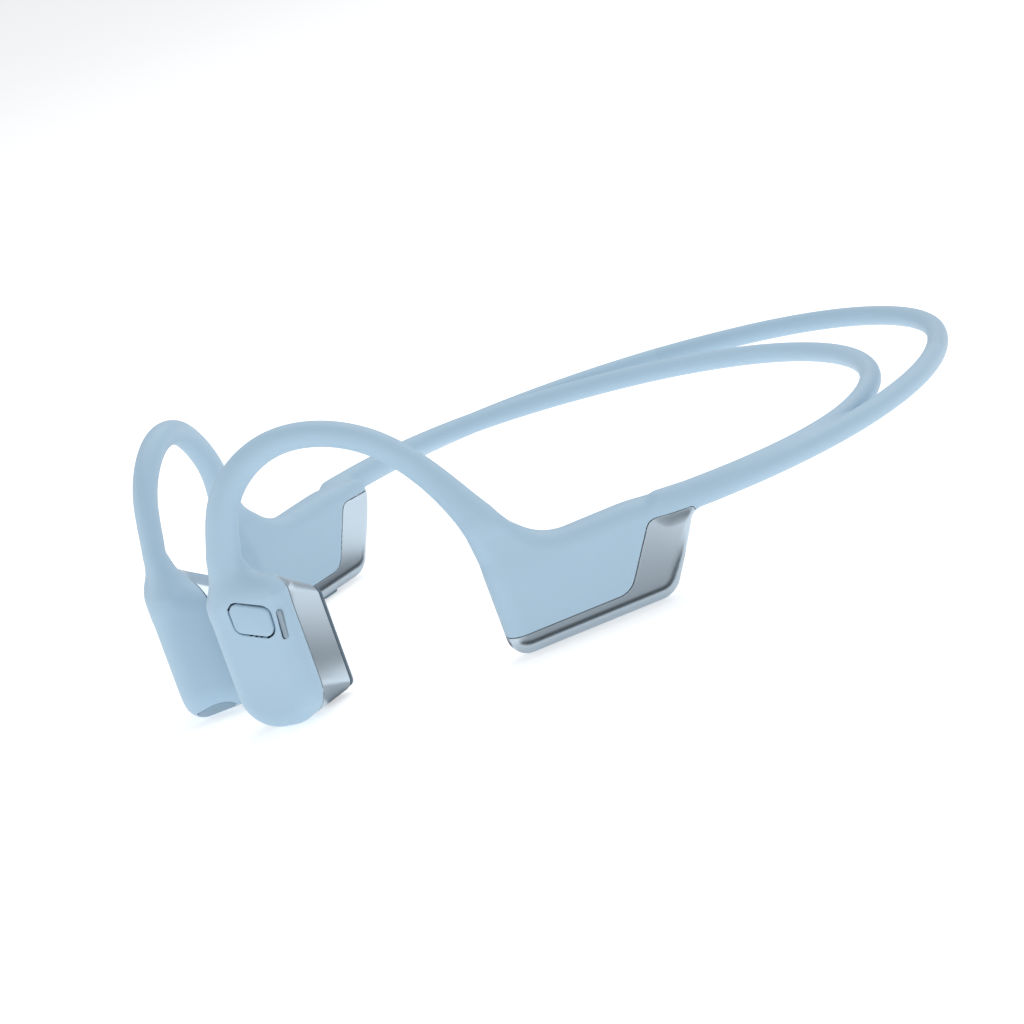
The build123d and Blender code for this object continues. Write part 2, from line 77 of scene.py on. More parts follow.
# the hook's root on the pod: height, shift to the right, half width, half depth
POD_NECK = [(3.3, 1.3, 5.9, 2.6), (4.7, 0.75, 4.6, 2.45), (6.5, 0.15, 3.4, 2.1), (8.9, 0.0, 2.6, 1.65)]
HOOK_POINTS = [(9.9, -60.12, 24.7), (11.2, -57.82, 32.0), (15.6, -51.42, 37.4), (20.3, -45.82, 37.1),
               (25.3, -41.02, 33.8), (29.8, -37.02, 27.4), (34.15, -34.77, 20.2)]
HOOK_TANGENTS = [(0.12, 0.28, 0.95), (0.45, 0.25, -0.86)]
HOOK_HALF_WIDTHS = [2.6, 2.35, 2.12, 1.96, 1.86, 1.79, 1.77, 1.82, 1.92, 2.1, 2.6]
HOOK_HALF_DEPTHS = [1.65, 1.68, 1.71, 1.74, 1.75, 1.75, 1.75, 1.76, 1.8, 1.9, 2.05]
CASE_HALF, CASE_REAR = 2.8, 21.2
CASE_OUTLINE = [(-9.0, 0.2), (15.0, 0.2), (20.6, 10.6), (20.6, 13.5), (13.0, 14.62), (-1.8, 14.5),
                (-6.05, 24.0), (-11.7, 24.0), (-9.8, 17.8), (-9.3, 14.0)]
CASE_RADII = [2.6, 3.6, 1.2, 1.4, 30.0, 8.6, 0.3, 0.3, 8.0, 8.0]
TRIM_OUTLINE = [(-12.0, 3.3), (8.6, 3.3), (14.0, 11.7), (20.3, 11.4), (20.9, 10.2), (26.0, 10.2), (26.0, 30.0),
                (-12.0, 30.0)]
TRIM_RADII = [0.5, 3.2, 1.8, 0.3, 0.3, 0.5, 0.5, 0.5]
COVER_PLANE = -1.2
KEY_LENGTH, KEY_WIDTH, KEY_PROUD, KEY_GAP, KEY_CENTRES = 3.8, 1.7, 0.4, 0.25, (2.2, 7.0)
PORT_AT, PORT_SIZE = -4.6, (4.2, 2.2)
CASE_LOW = 0.2
# the visual model's own finish: seams, rolled edges and crowned faces
GAP, ROLL = 0.035, 0.07
BUTTON_INSET, BUTTON_PROUD, BUTTON_ROLL, BUTTON_CROWN = 0.24, 0.25, 0.35, 0.1
PAD_INSET, PAD_ROLL, PAD_CROWN = 0.12, 0.4, 0.12
KEY_ROLL = 0.3
NECK_LOW, NECK_HIGH = 3.3, 9.4      # heights on the pod between which the hook's root takes shape
ARM_RADIUS, FLEX_RADIUS, REAR_RADIUS, WIRE_RADIUS = 1.55, 1.5, 1.45, 0.4
REST_LENGTH = 3.0       # half the length at the middle of the back that keeps its shape when a side is spread
LOOPS = {"inner": (47.2, [(50.0, 28.0), (50.0, 14.0), (50.0, 16.0), (33.9, 32.0), (42.6, 25.0)], 13.0, 1.75),
         "outer": (62.78, [(42.0, 36.0), (62.5, 12.0), (56.6, 26.0), (52.2, 40.0)], 12.2, 0.9)}
WIRE_SHORT = 6.0


class Place:
    """A frame of its own: x, y and z in the world, about an origin."""

    def __init__(self, origin, x, y, z):
        self.origin = np.array(origin, float)
        self.axes = np.array([x, y, z], float)

    def local(self, points):
        return (points - self.origin) @ self.axes.T

    def world(self, points):
        return self.origin + np.asarray(points, float) @ self.axes


TOE, TURN = radians(30.0), radians(19.3)
POD = Place((13.9, -61.62, 15.8), (cos(TOE), sin(TOE), 0), (0, 0, 1), (sin(TOE), -cos(TOE), 0))
CASE = Place((36.84, -27.68, 0.2), (sin(TURN), cos(TURN), 0), (0, 0, 1), (cos(TURN), -sin(TURN), 0))
WORLD = Place((0, 0, 0), (1, 0, 0), (0, 1, 0), (0, 0, 1))


# ---- distances

def mix(first, second, share):
    return first + (second - first) * share


def ease(value):
    value = np.clip(value, 0.0, 1.0)
    return value * value * (3.0 - 2.0 * value)


def merge(first, second, soft):
    """The union of two forms, with a soft hollow between them."""
    near = np.maximum(soft - np.abs(first - second), 0.0) / soft
    return np.minimum(first, second) - near * near * soft / 4.0


def meet(first, second, radius):
    """Where two forms overlap, with their common edge rounded."""
    a, b = first + radius, second + radius
    return np.hypot(np.maximum(a, 0), np.maximum(b, 0)) + np.minimum(np.maximum(a, b), 0) - radius


def oval(across, through, half_width, half_depth):
    """Nearly the distance from an ellipse."""
    scaled = np.hypot(across / half_width, through / half_depth)
    slope = np.hypot(across / half_width ** 2, through / half_depth ** 2)
    return scaled * (scaled - 1.0) / np.maximum(slope, 1e-9)


def unit(vectors):
    return vectors / np.maximum(np.linalg.norm(vectors, axis=-1, keepdims=True), 1e-12)


def rounded_outline(corners, radii, step=0.3):
    """Points round a closed polygon whose corners are arcs."""
    points = []
    for i, corner in enumerate(corners):
        here = np.array(corner, float)
        before = unit(np.array(corners[i - 1], float) - here)
        after = unit(np.array(corners[(i + 1) % len(corners)], float) - here)
        opening = np.arccos(np.clip(before @ after, -1, 1))
        radius = radii[i]
        reach = radius / tan(opening / 2)
        centre = here + unit(before + after) * radius / sin(opening / 2)
        first, last = here + before * reach - centre, here + after * reach - centre
        turn = pi - opening
        count = max(2, int(ceil(turn * radius / step)) + 1)
        for k in range(count + 1):
            share = k / count
            points.append(centre + (first * sin((1 - share) * turn) + last * sin(share * turn)) / sin(turn))
    return np.array(points)


def from_outline(x, y, outline):
    """Signed distance from a closed line of points, negative inside it."""
    best = np.full(len(x), 1e9)
    inside = np.zeros(len(x), bool)
    for (ax, ay), (bx, by) in zip(outline, np.roll(outline, -1, axis=0)):
        ex, ey = bx - ax, by - ay
        px, py = x - ax, y - ay
        share = np.clip((px * ex + py * ey) / max(ex * ex + ey * ey, 1e-12), 0, 1)
        best = np.minimum(best, (px - share * ex) ** 2 + (py - share * ey) ** 2)
        crosses = (ay > y) != (by > y)
        if crosses.any() and ey != 0:
            inside ^= crosses & (x < ax + (y - ay) / ey * ex)
    return np.where(inside, -1.0, 1.0) * np.sqrt(best)


def turns(count):
    """Angles at even steps round a full turn."""
    return np.linspace(0, 2 * pi, count + 1)[:-1]


def doubled_area(outline):
    """Twice the area inside a closed line, positive if it runs anticlockwise."""
    return np.sum(outline[:, 0] * np.roll(outline[:, 1], -1) - np.roll(outline[:, 0], -1) * outline[:, 1])


def capsule(x, y, length, width):
    """Distance from a slot that lies along x."""
    half = (length - width) / 2
    return np.hypot(np.maximum(np.abs(x) - half, 0), y) - width / 2


# ---- the ear hook's line

class Line:
    """A smooth curve through points, with its end directions."""

    def __init__(self, points, tangents):
        points = np.array(points, float)
        chord = np.linalg.norm(np.diff(points, axis=0), axis=1)
        self.knots = np.concatenate([[0], np.cumsum(chord)])
        count = len(points)
        system, right = np.eye(count), np.zeros((count, 3))
        right[0], right[-1] = unit(np.array(tangents[0])), unit(np.array(tangents[1]))
        for i in range(1, count - 1):
            a, b = chord[i - 1], chord[i]
            system[i, i - 1:i + 2] = [b, 2 * (a + b), a]
            right[i] = 3 * (b * (points[i] - points[i - 1]) / a + a * (points[i + 1] - points[i]) / b)
        self.points, self.slopes = points, np.linalg.solve(system, right)
        self.steps = np.linspace(0, self.knots[-1], 400)
        middle = self.at(self.steps)[0]
        self.lengths = np.concatenate([[0], np.cumsum(np.linalg.norm(np.diff(middle, axis=0), axis=1))])
        self.length = self.lengths[-1]
        self.samples = middle

    def at(self, t):
        """Point, first and second derivative; the line runs on straight past its ends."""
        held = np.clip(t, 0, self.knots[-1])
        i = np.clip(np.searchsorted(self.knots, held, side="right") - 1, 0, len(self.knots) - 2)
        h = (self.knots[i + 1] - self.knots[i])[:, None]
        u = (held - self.knots[i])[:, None] / h
        p, q, m, n = self.points[i], self.points[i + 1], self.slopes[i] * h, self.slopes[i + 1] * h
        a, b = 2 * p - 2 * q + m + n, -3 * p + 3 * q - 2 * m - n
        point = ((a * u + b) * u + m) * u + p
        first = ((3 * a * u + 2 * b) * u + m) / h
        second = (6 * a * u + 2 * b) / h ** 2
        past = (t - held)[:, None]
        return point + first * past, first, np.where(past == 0, second, 0)

    def nearest(self, where):
        t = np.empty(len(where))
        coarse = self.samples[::4]
        for start in range(0, len(where), 20000):
            part = where[start:start + 20000]
            gap = (part ** 2).sum(1)[:, None] - 2 * part @ coarse.T + (coarse ** 2).sum(1)
            t[start:start + 20000] = self.steps[::4][gap.argmin(1)]
        for _ in range(3):
            point, first, second = self.at(t)
            off = where - point
            slope = -(first ** 2).sum(1) + (off * second).sum(1)
            slope = np.where(slope > -0.15, -0.15, slope)
            t = np.clip(t - np.clip((off * first).sum(1) / slope, -1.5, 1.5), -8.0, self.knots[-1] + 8.0)
        return t

    def section(self, t):
        """Point, the section's two directions and its half width and half depth."""
        point, first, _ = self.at(t)
        along = unit(first)
        share = np.clip(np.interp(t, self.steps, self.lengths) / self.length, 0, 1)
        thin = mix(POD.axes[2], CASE.axes[2], share[:, None])
        across = unit(np.cross(thin, along))
        width = np.polyval(HOOK_WIDTH_FIT, share)
        depth = np.polyval(HOOK_DEPTH_FIT, share)
        return point, across, np.cross(along, across), width, depth


SHARES = np.linspace(0, 1, len(HOOK_HALF_WIDTHS))
HOOK_WIDTH_FIT = np.polyfit(SHARES, HOOK_HALF_WIDTHS, 6)
HOOK_DEPTH_FIT = np.polyfit(SHARES, HOOK_HALF_DEPTHS, 5)
HOOK = Line(HOOK_POINTS, HOOK_TANGENTS)


def hook_form(points):
    t = HOOK.nearest(points)
    middle, across, through, width, depth = HOOK.section(t)
    off = points - middle
    return oval((off * across).sum(1), (off * through).sum(1), width, depth)


# ---- the pod

def pod_edge(q, inset=0.0):
    """Distance outside the pod's outline, at each point's own depth."""
    depth = -q[:, 2] - SHOULDER_DEPTH
    share = (depth + np.sqrt(depth ** 2 + 0.5)) / 2 / (TAPER_END - SHOULDER_DEPTH)
    left, right = mix(POD_LEFT, PAD_LEFT, share) + inset, mix(POD_RIGHT, PAD_RIGHT, share) - inset
    low, high = mix(POD_LOW, PAD_LOW, share) + inset, mix(POD_HIGH, PAD_HIGH, share) - inset
    x, y = q[:, 0] - (left + right) / 2, q[:, 1] - (low + high) / 2
    radii = [np.maximum(mix(a, b, share) - inset, 0.6) for a, b in zip(POD_RADII, PAD_RADII)]
    radius = np.where(y < 0, np.where(x < 0, radii[0], radii[1]), np.where(x < 0, radii[3], radii[2]))
    a, b = np.abs(x) - (right - left) / 2 + radius, np.abs(y) - (high - low) / 2 + radius
    return np.minimum(np.maximum(a, b), 0) + np.hypot(np.maximum(a, 0), np.maximum(b, 0)) - radius


NECK_AT = np.array(POD_NECK)
NECK_FITS = [np.polyfit(NECK_AT[:, 0], NECK_AT[:, i], 3) for i in (1, 2, 3)]
HOOK_START = POD.local(np.array([HOOK_POINTS[0]]))[0]


def pod_form(points):
    q = POD.local(points)
    slab = meet(pod_edge(q), q[:, 2], FACE_ROUND)
    height = np.clip(q[:, 1], NECK_LOW, NECK_HIGH)
    shift, width, depth = (np.polyval(fit, height) for fit in NECK_FITS)
    shrink = 1.0 - 0.45 * ease((NECK_LOW - q[:, 1]) / 6.0)
    neck = oval(q[:, 0] - HOOK_START[0] - shift, q[:, 2] - HOOK_START[2], width * shrink, depth * shrink)
    neck = meet(neck, -3.0 - q[:, 1], 1.5)
    upper = q[:, 1] > 7.9
    if upper.any():
        share = ease((q[upper, 1] - 8.0) / 1.8)
        neck[upper] = mix(neck[upper], hook_form(points[upper]), share)
    return merge(slab, neck, 1.8)


SEAM_SLOPE = np.arctan2(SEAM_LEFT_DEPTH - SHOULDER_DEPTH, POD_RIGHT - POD_LEFT)
BUTTON_HOLE = rounded_outline(BUTTON_OUTLINE, [1.5] * 4, 0.12)


def seam_side(points):
    """Distance in front of the slanted plane between the shell and the housing."""
    q = POD.local(points) - np.array([POD_RIGHT, 0, -SHOULDER_DEPTH])
    return q @ np.array([-sin(SEAM_SLOPE), 0, cos(SEAM_SLOPE)])


def button_side(points):
    q = POD.local(points)
    away = np.hypot(q[:, 0], q[:, 1]) - 4.0
    near = (q[:, 2] > -3.0) & (away < 2.0)
    result = np.where(q[:, 2] > -3.0, away, 10.0)
    result[near] = from_outline(q[near, 0], q[near, 1], BUTTON_HOLE)
    return result


def slot_side(points):
    q = POD.local(points)
    x, y = q[:, 0] - SLOT_AT[0], q[:, 1] - SLOT_AT[1]
    lean = radians(90 + SLOT_LEAN)
    away = capsule(x * cos(lean) + y * sin(lean), -x * sin(lean) + y * cos(lean), SLOT_SIZE[1], SLOT_SIZE[0])
    return np.where(q[:, 2] > -4.0, away, 10.0)


VENT_Z = unit(np.array(VENT_OUT))
VENT_X = unit(np.array((0, 0, 1)) - VENT_Z * VENT_Z[2])
VENT_ORIGIN = np.array((VENT_AT[0], VENT_AT[1], -VENT_DEPTH))
VENT = Place(POD.world(VENT_ORIGIN), VENT_X @ POD.axes, np.cross(VENT_Z, VENT_X) @ POD.axes, VENT_Z @ POD.axes)


def vent_side(points):
    q = VENT.local(points)
    away = oval(q[:, 0], q[:, 1], VENT_SIZE[0] / 2, VENT_SIZE[1] / 2)
    return np.where(q[:, 2] > -3.0, away, 10.0)


def gasket_side(points):
    return POD.local(points)[:, 2] + HOUSING_END


def hook_start_side(points):
    """Distance below the plane where the ear hook leaves the pod."""
    return -(points - np.array(HOOK_POINTS[0])) @ unit(HOOK.slopes[0])


def hook_end_side(points):
    return (points - np.array(HOOK_POINTS[-1])) @ unit(HOOK.slopes[-1])


# ---- the case and the neckband

class Strand:
    """Half of a neckband loop: arcs that follow each other, on a sloping plane."""

    def __init__(self, tip, arcs, height, fall):
        self.height, self.slope, self.arcs = height, tan(radians(fall)), []
        x, y, heading, length = 0.0, tip, 0.0, 0.0
        for radius, turn in arcs:
            turn = radians(turn)
            self.arcs.append((x - radius * sin(heading), y - radius * cos(heading), radius, heading, turn, length))
            x += radius * (sin(heading + turn) - sin(heading))
            y += radius * (cos(heading + turn) - cos(heading))
            heading += turn
            length += radius * turn
        self.length = length

    def form(self, points, first, radius):
        """Distance from the tube along the arcs from first on, and the length along it."""
        best, along = np.full(len(points), 1e9), np.zeros(len(points))
        for cx, cy, arc, heading, turn, start in self.arcs[first:]:
            angle = np.arctan2(points[:, 0] - cx, points[:, 1] - cy) - heading
            angle = np.mod(angle - turn / 2 + pi, 2 * pi) - pi + turn / 2
            angle = np.clip(angle, 0, turn)
            x, y = cx + arc * np.sin(heading + angle), cy + arc * np.cos(heading + angle)
            z = self.height - y * self.slope
            away = (points[:, 0] - x) ** 2 + (points[:, 1] - y) ** 2 + (points[:, 2] - z) ** 2
            nearer = away < best
            best = np.where(nearer, away, best)
            along = np.where(nearer, start + arc * angle, along)
        return np.sqrt(best) - radius, along

    def at(self, length):
        """Point and direction at a length from the middle of the back."""
        for cx, cy, arc, heading, turn, start in self.arcs:
            if length <= start + arc * turn + 1e-9:
                break
        angle = heading + (length - start) / arc
        y = cy + arc * cos(angle)
        along = np.array([cos(angle), -sin(angle), sin(angle) * self.slope])
        return np.array([cx + arc * sin(angle), y, self.height - y * self.slope]), unit(along)


STRANDS = {name: Strand(*LOOPS[name]) for name in LOOPS}


def strand_forms(points):
    return [STRANDS[name].form(points, 1, ARM_RADIUS) for name in ("inner", "outer")]


def arm_form(points):
    (inner, _), (outer, _) = strand_forms(points)
    return merge(inner, outer, 0.8)


def arm_end_side(points):
    """Length of arm left before the flex zone, along the nearer strand."""
    (inner, inner_along), (outer, outer_along) = strand_forms(points)
    return np.where(inner < outer, inner_along - STRANDS["inner"].arcs[2][5],
                    outer_along - STRANDS["outer"].arcs[2][5])


CASE_LINE = rounded_outline(CASE_OUTLINE, CASE_RADII)
TRIM_LINE = rounded_outline(TRIM_OUTLINE, TRIM_RADII)


def case_form(points):
    q = CASE.local(points)
    edge = from_outline(q[:, 0], q[:, 1], CASE_LINE)
    neck = ease((5.0 - q[:, 0]) / 7.0)
    half = CASE_HALF - neck * (0.5 * ease((q[:, 1] - 11.0) / 5.0) + 0.25 * ease((q[:, 1] - 15.0) / 5.0))
    radius = np.minimum(half - 0.05, mix(2.4, 1.2, ease((q[:, 0] - 14.5) / 5.0)))
    body = meet(edge, np.abs(q[:, 2]) - half, radius)
    upper = (q[:, 1] > 16.9) & (q[:, 0] < 4.0)
    if upper.any():
        share = ease((q[upper, 1] - 17.0) / 4.0)
        body[upper] = mix(body[upper], hook_form(points[upper]), share)
    return merge(body, arm_form(points), 1.3)


def trim_side(points):
    """Distance on the matte side of the line round the metallic trim."""
    q = CASE.local(points)
    return -from_outline(q[:, 0], q[:, 1], TRIM_LINE)


def case_rear_side(points):
    return CASE_REAR - CASE.local(points)[:, 0]


def cover_side(points):
    return CASE.local(points)[:, 2] - COVER_PLANE


def key_side(centre, length, width):
    """Distance from an upright slot through the underside of the case."""
    def side(points):
        q = CASE.local(points)
        return np.where(q[:, 1] < 3.0, capsule(q[:, 0] - centre, q[:, 2], length, width), 10.0)
    return side


# ---- meshes from distances

def gradient(field, points, step=0.01):
    return np.stack([(field(points + step * e) - field(points - step * e)) / (2 * step) for e in np.eye(3)], -1)


def onto(field, points, rounds=3):
    for _ in range(rounds):
        slope = gradient(field, points)
        points = points - (field(points) / np.maximum((slope ** 2).sum(1), 1e-6))[:, None] * slope
    return points


def skin(field, place, low, high, step):
    """Points on a form's surface, and the triangles between them."""
    low = np.array(low, float)
    count = np.ceil((np.array(high) - low) / step).astype(int) + 1
    axes = [low[i] + step * np.arange(count[i]) for i in range(3)]
    grid = np.stack(np.meshgrid(*axes, indexing="ij"), -1).reshape(-1, 3)
    values = field(place.world(grid)).reshape(count)
    inside = values < 0
    corners = [(i, j, k) for i in (0, 1) for j in (0, 1) for k in (0, 1)]
    last = count - 1

    def corner(array, c):
        return array[c[0]:last[0] + c[0], c[1]:last[1] + c[1], c[2]:last[2] + c[2]]

    total = sum(corner(inside, c).astype(int) for c in corners)
    active = (total > 0) & (total < 8)
    number = np.full(active.shape, -1)
    number[active] = np.arange(active.sum())
    cells = np.argwhere(active).astype(float)
    sums, hits = np.zeros_like(cells), np.zeros(len(cells))
    for a in corners:
        for axis in range(3):
            if a[axis]:
                continue
            b = list(a)
            b[axis] = 1
            first, second = corner(values, a)[active], corner(values, b)[active]
            crossed = (first < 0) != (second < 0)
            share = np.where(crossed, first / np.where(crossed, first - second, 1), 0)
            point = np.tile(np.array(a, float), (len(cells), 1))
            point[:, axis] += share
            sums[crossed] += point[crossed]
            hits[crossed] += 1
    points = place.world(low + step * (cells + sums / hits[:, None]))
    quads = []
    for axis in range(3):
        b, c = (axis + 1) % 3, (axis + 2) % 3
        change = np.diff(inside.astype(int), axis=axis)
        spots = np.argwhere(change != 0)
        spots = spots[(spots[:, b] > 0) & (spots[:, c] > 0) & (spots[:, b] < last[b]) & (spots[:, c] < last[c])]
        ring = []
        for db, dc in ((-1, -1), (0, -1), (0, 0), (-1, 0)):
            cell = spots.copy()
            cell[:, b] += db
            cell[:, c] += dc
            ring.append(number[cell[:, 0], cell[:, 1], cell[:, 2]])
        quad = np.stack(ring, 1)
        outward = change[spots[:, 0], spots[:, 1], spots[:, 2]] < 0
        quad[~outward] = quad[~outward][:, ::-1]
        quads.append(quad)
    quads = np.concatenate(quads)
    points = onto(field, points)
    shorter = (np.linalg.norm(points[quads[:, 0]] - points[quads[:, 2]], axis=1)
               < np.linalg.norm(points[quads[:, 1]] - points[quads[:, 3]], axis=1))
    one = np.where(shorter[:, None], quads[:, [0, 1, 2]], quads[:, [0, 1, 3]])
    two = np.where(shorter[:, None], quads[:, [0, 2, 3]], quads[:, [1, 2, 3]])
    return points, np.concatenate([one, two])


def settle(points, side, value, form):
    """Moves points on to the line where side has the value, along the form's surface."""
    for _ in range(4):
        slope = gradient(form, points)
        normal = unit(slope)
        points = points - (form(points) / np.maximum((slope ** 2).sum(1), 1e-6))[:, None] * slope
        pull = gradient(side, points)
        pull = pull - (pull * normal).sum(1)[:, None] * normal
        size = np.maximum((pull ** 2).sum(1), 0.04)
        points = points - np.clip((side(points) - value) / size, -0.3, 0.3)[:, None] * pull
    return points


def scored(points, tris, side, value, form):
    """The same skin with the line where side has the value cut into it; also each point's side."""
    level = side(points) - value
    level = np.where(np.abs(level) < 1e-5, 0, level)
    edges = np.sort(np.concatenate([tris[:, [0, 1]], tris[:, [1, 2]], tris[:, [2, 0]]]), 1)
    edges = np.unique(edges, axis=0)
    crossed = edges[level[edges[:, 0]] * level[edges[:, 1]] < 0]
    if len(crossed) == 0:
        return points, tris, level
    share = level[crossed[:, 0]] / (level[crossed[:, 0]] - level[crossed[:, 1]])
    snap = np.unique(np.concatenate([crossed[share < 0.18, 0], crossed[share > 0.82, 1]]))
    if len(snap):
        points = points.copy()
        points[snap] = settle(points[snap], side, value, form)
        level[snap] = 0
    crossed = edges[level[edges[:, 0]] * level[edges[:, 1]] < 0]
    share = level[crossed[:, 0]] / (level[crossed[:, 0]] - level[crossed[:, 1]])
    fresh = mix(points[crossed[:, 0]], points[crossed[:, 1]], share[:, None])
    if len(fresh):
        fresh = settle(fresh, side, value, form)
    number = {tuple(edge): len(points) + i for i, edge in enumerate(crossed.tolist())}
    points = np.concatenate([points, fresh])
    sign = np.sign(level[tris])
    mixed = (sign.max(1) > 0) & (sign.min(1) < 0)
    result = []
    for tri in tris[mixed].tolist():
        ring = []
        for a, b in zip(tri, tri[1:] + tri[:1]):
            ring.append(a)
            key = (min(a, b), max(a, b))
            if key in number:
                ring.append(number[key])
        for wanted in (1, -1):
            part = [i for i in ring if i >= len(level) or level[i] * wanted >= 0]
            result.extend([part[0], part[k], part[k + 1]] for k in range(1, len(part) - 1))
    tris = np.concatenate([tris[~mixed], np.array(result, int).reshape(-1, 3)])
    return points, tris, np.concatenate([level, np.zeros(len(fresh))])


def kept(points, tris, level):
    """Only the triangles on the positive side."""
    tris = tris[(level[tris].min(1) >= 0) & (level[tris].max(1) > 0)]
    used, tris = np.unique(tris, return_inverse=True)
    return points[used], tris.reshape(-1, 3)


class Skin:
    """Part of a form's surface, cut along seams whose edges turn inwards."""

    def __init__(self, form, points, tris):
        self.form, self.points, self.tris, self.seams = form, points, tris, []

    def copy(self):
        twin = Skin(self.form, self.points, self.tris)
        twin.seams = list(self.seams)
        return twin

    def keep(self, side, gap=0.0, round_off=0.0, lip=0.5, sign=1):
        """Keeps what lies on one side of a seam, gap back from it."""
        def toward(points):
            return sign * side(points)
        for row in ([0.0, 0.3, 1.0] if round_off else [0.0]):
            self.points, self.tris, level = scored(self.points, self.tris, toward, gap + row * round_off, self.form)
            if row == 0.0:
                self.points, self.tris = kept(self.points, self.tris, level)
        self.seams.append((toward, gap, round_off, lip))
        return self

    def finished(self):
        """Final points, triangles and normals, with rounded edges and the lips behind them."""
        normal = unit(gradient(self.form, self.points))
        points, normals = self.points.copy(), normal.copy()
        pulls = []
        for toward, gap, round_off, _ in self.seams:
            pull = -gradient(toward, self.points)
            pull = unit(pull - (pull * normal).sum(1)[:, None] * normal)
            pulls.append(pull)
            if round_off:
                q = np.clip((gap + round_off - toward(self.points)) / round_off, 0, 1)
                points -= normal * (round_off * (1 - np.sqrt(1 - q * q)))[:, None]
                tilt = (q > normals_tilt(normals, normal))
                lean = np.minimum(q, 0.96)
                turned = normal * np.sqrt(1 - lean * lean)[:, None] + pull * lean[:, None]
                normals = np.where(tilt[:, None], turned, normals)
        normals = unit(normals)
        tris = self.tris
        all_points, all_normals, all_tris = [points], [normals], [tris]
        count = len(points)
        edges = np.concatenate([tris[:, [0, 1]], tris[:, [1, 2]], tris[:, [2, 0]]])
        keys = np.sort(edges, 1)
        _, first, uses = np.unique(keys, axis=0, return_index=True, return_counts=True)
        border = edges[first[uses == 1]]
        for (toward, gap, _, lip), pull in zip(self.seams, pulls):
            level = np.abs(toward(self.points) - gap)
            own = border[(level[border] < 0.02).all(1)]
            if len(own) == 0:
                continue
            used, ring = np.unique(own, return_inverse=True)
            ring = ring.reshape(-1, 2)
            top, low = points[used], points[used] - normal[used] * lip
            all_points += [top, low]
            all_normals += [pull[used], pull[used]]
            a, b = ring[:, 0] + count, ring[:, 1] + count
            c, d = a + len(used), b + len(used)
            all_tris += [np.stack([b, a, c], 1), np.stack([b, c, d], 1)]
            count += 2 * len(used)
        return np.concatenate(all_points), np.concatenate(all_tris), np.concatenate(all_normals)


def normals_tilt(normals, base):
    """How far each normal already leans away from the surface's own."""
    return np.sqrt(np.maximum(1 - (normals * base).sum(1) ** 2, 0))


# ---- pieces

def linked(name, data):
    """A new object in the scene."""
    thing = bpy.data.objects.new(name, data)
    bpy.context.scene.collection.objects.link(thing)
    return thing


def add_piece(name, points, faces, normals, body, slot, replaced, side="left"):
    """One visible piece; the right-hand one is the mirror image."""
    points = np.array(points, float) / 1000.0
    faces = [list(face) for face in faces]
    if side == "right":
        points = points * np.array([-1, 1, 1])
        faces = [face[::-1] for face in faces]
        normals = None if normals is None else normals * np.array([-1, 1, 1])
    mesh = bpy.data.meshes.new(name)
    mesh.from_pydata(points.tolist(), [], faces)
    mesh.validate()
    mesh.shade_smooth()
    if normals is not None and len(mesh.vertices) == len(normals):
        mesh.normals_split_custom_set_from_vertices(normals.tolist())
    piece = linked(name, mesh)
    mesh.materials.append(MATERIALS[slot])
    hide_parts(*replaced)
    if body:
        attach(piece, body)
    return piece


def both_sides(name, part, slot, body="{}_side"):
    """The piece for the left side and its mirror image for the right."""
    points, faces, normals = part
    for side in SIDES:
        add_piece(f"skin_{side}_{name}", points, faces, normals, body.format(side), slot, [f"{side}_{name}"], side)


def grid_faces(rows, columns, start=0):
    """Quads between rings of points, each ring closed on itself."""
    faces = []
    for i in range(rows - 1):
        for j in range(columns):
            k = (j + 1) % columns
            faces.append([start + i * columns + j, start + i * columns + k,
                          start + (i + 1) * columns + k, start + (i + 1) * columns + j])
    return faces


def dome(rings):
    """Rings of points, the last one closed by a middle point."""
    rings = [np.asarray(ring) for ring in rings]
    columns = len(rings[0])
    points = np.concatenate(rings + [rings[-1].mean(0)[None]])
    faces = grid_faces(len(rings), columns)
    top = (len(rings) - 1) * columns
    faces += [[top + j, top + (j + 1) % columns, len(points) - 1] for j in range(columns)]
    return points, faces, None


def inset_line(outline, amount):
    """A closed line of points moved towards its inside."""
    step = unit(np.roll(outline, -1, axis=0) - np.roll(outline, 1, axis=0))
    inward = np.stack([-step[:, 1], step[:, 0]], 1) * np.sign(doubled_area(outline))
    return outline + inward * amount


def ordered(outline):
    """The same line running anticlockwise, at even steps."""
    outline = outline if doubled_area(outline) > 0 else outline[::-1]
    closed = np.concatenate([outline, outline[:1]])
    run = np.concatenate([[0], np.cumsum(np.linalg.norm(np.diff(closed, axis=0), axis=1))])
    even = np.linspace(0, run[-1], 121)[:-1]
    return np.stack([np.interp(even, run, closed[:, i]) for i in (0, 1)], 1)


def raised_button():
    """Crowned cap with a rolled edge, standing a little proud of the shell."""
    edge = ordered(inset_line(ordered(BUTTON_HOLE), BUTTON_INSET))
    centre = edge.mean(0)
    rings = [(edge, -1.2), (edge, -0.2)]
    for k in range(7):
        angle = radians(90 * k / 6)
        rings.append((inset_line(edge, BUTTON_ROLL * (1 - cos(angle))),
                      BUTTON_PROUD - BUTTON_ROLL * (1 - sin(angle))))
    inner = inset_line(edge, BUTTON_ROLL)
    for share in (0.93, 0.86, 0.78, 0.7, 0.6, 0.5, 0.4, 0.3, 0.2, 0.1):
        rings.append((centre + (inner - centre) * share, BUTTON_PROUD + BUTTON_CROWN * (1 - share ** 2)))
    return dome([POD.world(np.column_stack([line, np.full(len(line), z)])) for line, z in rings])


